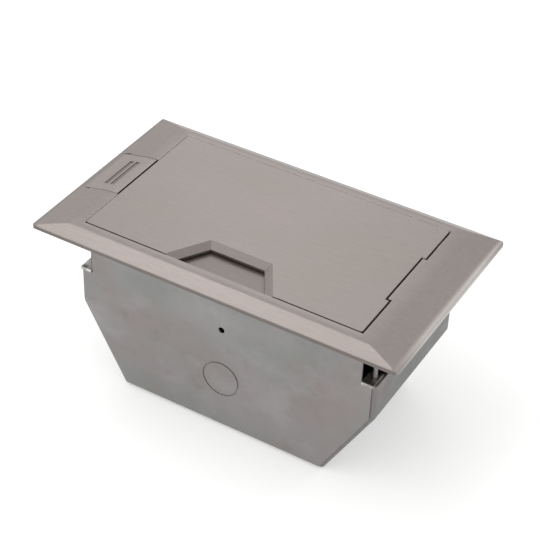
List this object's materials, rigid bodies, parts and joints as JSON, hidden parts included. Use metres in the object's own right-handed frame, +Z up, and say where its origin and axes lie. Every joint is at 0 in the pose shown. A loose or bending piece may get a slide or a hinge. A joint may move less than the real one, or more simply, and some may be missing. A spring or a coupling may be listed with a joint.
{
  "type": "floor socket box",
  "caption": "Rectangular flush floor box: bevelled steel frame with hinged lid, slide latch and cable outlet over a folded tray with slanted ends holding power and data sockets.",
  "frame": {"origin": "middle of the tray's underside, which is also the bottom centre of the whole box", "axes": "+X along the length towards the lid hinge, -Y the side where the cables leave, +Z up"},
  "size_m": [0.24, 0.137, 0.1192],
  "materials": {
    "galvanised_sheet": "galvanised, mottled",
    "bright_zinc": "bright zinc plate",
    "zinc_steel": "zinc plated",
    "brass": "plain brass",
    "brushed_stainless": "brushed stainless, warm",
    "satin_stainless": "satin stainless",
    "black_rubber": "soft foam rubber",
    "white_plastic": "moulded",
    "black_plastic": "moulded",
    "spring_steel": "spring wire"
  },
  "bodies": {
    "box": {"back_wall": "galvanised_sheet", "collar": "galvanised_sheet", "collar_screws": "zinc_steel", "corner_lugs": "bright_zinc", "cradle_back": "galvanised_sheet", "cradle_front": "galvanised_sheet", "cradle_rivets": "zinc_steel", "data_socket_back": "white_plastic", "data_socket_front": "white_plastic", "earth_clips": "brass", "earth_nut": "brass", "earth_stud": "brass", "earth_washer": "brass", "frame": "brushed_stainless", "front_wall": "galvanised_sheet", "jack_shells": "black_plastic", "latch_springs": "spring_steel", "levelling_nuts": "zinc_steel", "levelling_studs": "zinc_steel", "lid_seal": "black_rubber", "power_socket_back": "white_plastic", "power_socket_front": "white_plastic", "power_terminals": "brass", "socket_plate_left": "galvanised_sheet", "socket_plate_right": "galvanised_sheet", "spring_posts": "zinc_steel", "tray_shell": "galvanised_sheet"},
    "lid": {"lid": "brushed_stainless", "lid_ribs": "galvanised_sheet", "hinge_brackets": "zinc_steel", "hinge_pins": "zinc_steel", "lid_catch": "zinc_steel", "flap_bracket": "zinc_steel", "flap_pin": "zinc_steel"},
    "flap": {"cable_flap": "satin_stainless"},
    "latch": {"latch_slide": "brushed_stainless", "latch_bolt": "zinc_steel"}
  },
  "joints": [
    {"name": "lid_hinge", "type": "hinge", "parent": "box", "child": "lid", "pos_m": [0.084, 0, 0.1159], "axis": [0, 1, 0], "range_deg": [0, 105]},
    {"name": "flap_hinge", "type": "hinge", "parent": "lid", "child": "flap", "pos_m": [0, -0.0295, 0.114], "axis": [1, 0, 0], "range_deg": [0, 75], "stiffness_Nm_per_rad": 0.004, "springref_deg": -68.75},
    {"name": "latch_travel", "type": "slide", "parent": "box", "child": "latch", "axis": [-1, 0, 0], "range_m": [0, 0.003], "stiffness_N_per_m": 300, "springref_m": -0.001, "deforming": ["latch_springs"]}
  ]
}
